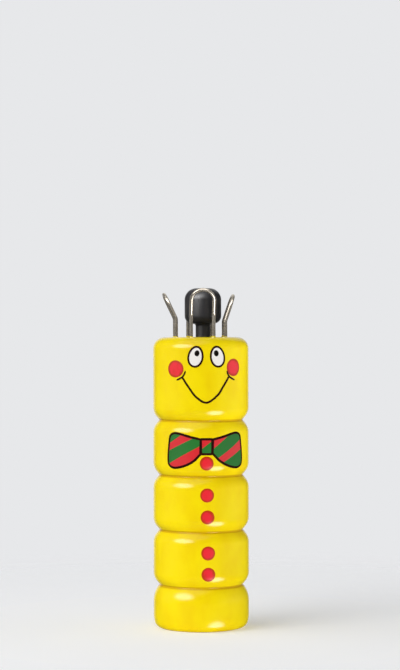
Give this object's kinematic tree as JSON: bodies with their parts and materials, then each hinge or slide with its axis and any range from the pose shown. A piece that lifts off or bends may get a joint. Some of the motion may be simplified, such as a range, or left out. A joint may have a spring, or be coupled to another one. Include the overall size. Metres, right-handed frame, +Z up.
{
  "type": "knitting nancy",
  "caption": "Turned wooden knitting doll with a bore down its axis, ring grooves, a painted face, wire loops in its head and a lifting needle with a black knob kept in the bore.",
  "frame": {"origin": "centre of the foot, on the axis of the bore, where the doll stands", "axes": "+Z up along the bore, -Y the way the painted face looks, +X to the right as the face is seen"},
  "size_m": [0.026, 0.026, 0.0923],
  "materials": {
    "yellow_lacquer": "gloss lacquer on turned wood",
    "bright_wire": "bright drawn wire",
    "black_plastic": "moulded, satin gloss",
    "needle_steel": "polished",
    "black_paint": "brushed enamel",
    "white_paint": "brushed enamel",
    "red_paint": "brushed enamel",
    "green_paint": "brushed enamel"
  },
  "bodies": {
    "doll": {"turned_body": "yellow_lacquer", "wire_loop_front": "bright_wire", "wire_loop_right": "bright_wire", "wire_loop_back": "bright_wire", "wire_loop_left": "bright_wire"},
    "needle": {"needle_handle": "black_plastic", "needle_shaft": "needle_steel"}
  },
  "joints": [
    {"name": "needle_lift", "type": "slide", "parent": "doll", "child": "needle", "axis": [0, 0, 1], "range_m": [0, 0.095]}
  ]
}
